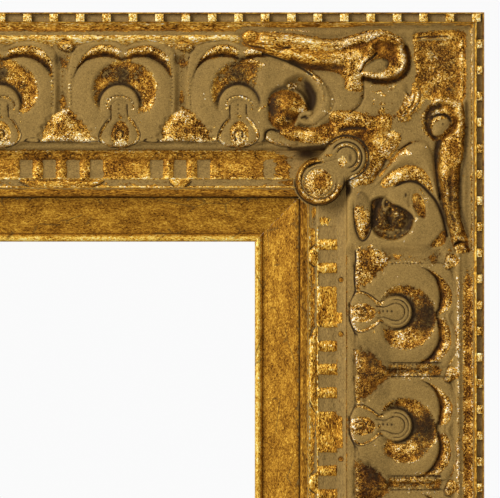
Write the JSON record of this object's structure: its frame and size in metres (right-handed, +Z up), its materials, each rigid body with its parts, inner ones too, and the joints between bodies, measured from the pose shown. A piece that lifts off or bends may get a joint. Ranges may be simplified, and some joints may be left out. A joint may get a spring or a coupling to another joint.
{
  "type": "baroque picture frame",
  "caption": "Mitred baroque picture frame with cast shell runs, leaf corner cartouches, beaded edge, fluted frieze, gilded liner, swinging hangers and turn buttons for the picture.",
  "frame": {"origin": "middle of the frame on the wall plane that the bumper backs touch", "axes": "+X to the right seen from the front, +Y from the front towards the wall, +Z up"},
  "size_m": [0.6418, 0.057, 0.7434],
  "materials": {
    "gilded_rail": "worn gilding over wood",
    "gilded_liner": "burnished gilding",
    "gilded_bead": "bright gilding",
    "toned_gilding": "olive toned gilding",
    "gilded_frieze": "worn gilding",
    "gilded_corner": "worn gilding with olive toning",
    "steel": "zinc",
    "brassed_steel": "brass plated",
    "bumper": "matt"
  },
  "bodies": {
    "frame": {"rail_top": "gilded_rail", "rail_right": "gilded_rail", "rail_bottom": "gilded_rail", "rail_left": "gilded_rail", "liner_top": "gilded_liner", "liner_right": "gilded_liner", "liner_bottom": "gilded_liner", "liner_left": "gilded_liner", "bead_run_top": "gilded_bead", "bead_run_right": "gilded_bead", "bead_run_bottom": "gilded_bead", "bead_run_left": "gilded_bead", "shell_run_top": "toned_gilding", "shell_run_right": "toned_gilding", "shell_run_bottom": "toned_gilding", "shell_run_left": "toned_gilding", "flute_run_top": "gilded_frieze", "flute_run_right": "gilded_frieze", "flute_run_bottom": "gilded_frieze", "flute_run_left": "gilded_frieze", "corner_ornament_top_right": "gilded_corner", "corner_ornament_bottom_right": "gilded_corner", "corner_ornament_bottom_left": "gilded_corner", "corner_ornament_top_left": "gilded_corner", "corner_nail_top_right_1": "steel", "corner_nail_top_right_2": "steel", "corner_nail_bottom_right_1": "steel", "corner_nail_bottom_right_2": "steel", "corner_nail_bottom_left_1": "steel", "corner_nail_bottom_left_2": "steel", "corner_nail_top_left_1": "steel", "corner_nail_top_left_2": "steel", "brad_top_1": "steel", "brad_top_2": "steel", "brad_right_1": "steel", "brad_right_2": "steel", "brad_bottom_1": "steel", "brad_bottom_2": "steel", "brad_left_1": "steel", "brad_left_2": "steel", "hanger_strap_right": "brassed_steel", "hanger_screw_right_1": "brassed_steel", "hanger_screw_right_2": "brassed_steel", "hanger_strap_left": "brassed_steel", "hanger_screw_left_1": "brassed_steel", "hanger_screw_left_2": "brassed_steel", "turn_button_screw_top": "steel", "turn_button_screw_right": "steel", "turn_button_screw_bottom": "steel", "turn_button_screw_left": "steel", "wall_bumper_right": "bumper", "wall_bumper_left": "bumper"},
    "hanger_ring_right": {"hanger_ring_right": "brassed_steel"},
    "hanger_ring_left": {"hanger_ring_left": "brassed_steel"},
    "turn_button_top": {"turn_button_top": "steel"},
    "turn_button_right": {"turn_button_right": "steel"},
    "turn_button_bottom": {"turn_button_bottom": "steel"},
    "turn_button_left": {"turn_button_left": "steel"}
  },
  "joints": [
    {"name": "hanger_ring_right_swing", "type": "hinge", "parent": "frame", "child": "hanger_ring_right", "pos_m": [0.2749, -0.00325, 0.1357], "axis": [1, 0, 0], "range_deg": [0, 180]},
    {"name": "hanger_ring_left_swing", "type": "hinge", "parent": "frame", "child": "hanger_ring_left", "pos_m": [-0.2749, -0.00325, 0.1357], "axis": [1, 0, 0], "range_deg": [0, 180]},
    {"name": "turn_button_top_turn", "type": "hinge", "parent": "frame", "child": "turn_button_top", "pos_m": [0, -0.0053, 0.2644], "axis": [0, 1, 0], "continuous": true},
    {"name": "turn_button_right_turn", "type": "hinge", "parent": "frame", "child": "turn_button_right", "pos_m": [0.2136, -0.0053, 0], "axis": [0, 1, 0], "continuous": true},
    {"name": "turn_button_bottom_turn", "type": "hinge", "parent": "frame", "child": "turn_button_bottom", "pos_m": [0, -0.0053, -0.2644], "axis": [0, 1, 0], "continuous": true},
    {"name": "turn_button_left_turn", "type": "hinge", "parent": "frame", "child": "turn_button_left", "pos_m": [-0.2136, -0.0053, 0], "axis": [0, 1, 0], "continuous": true}
  ]
}
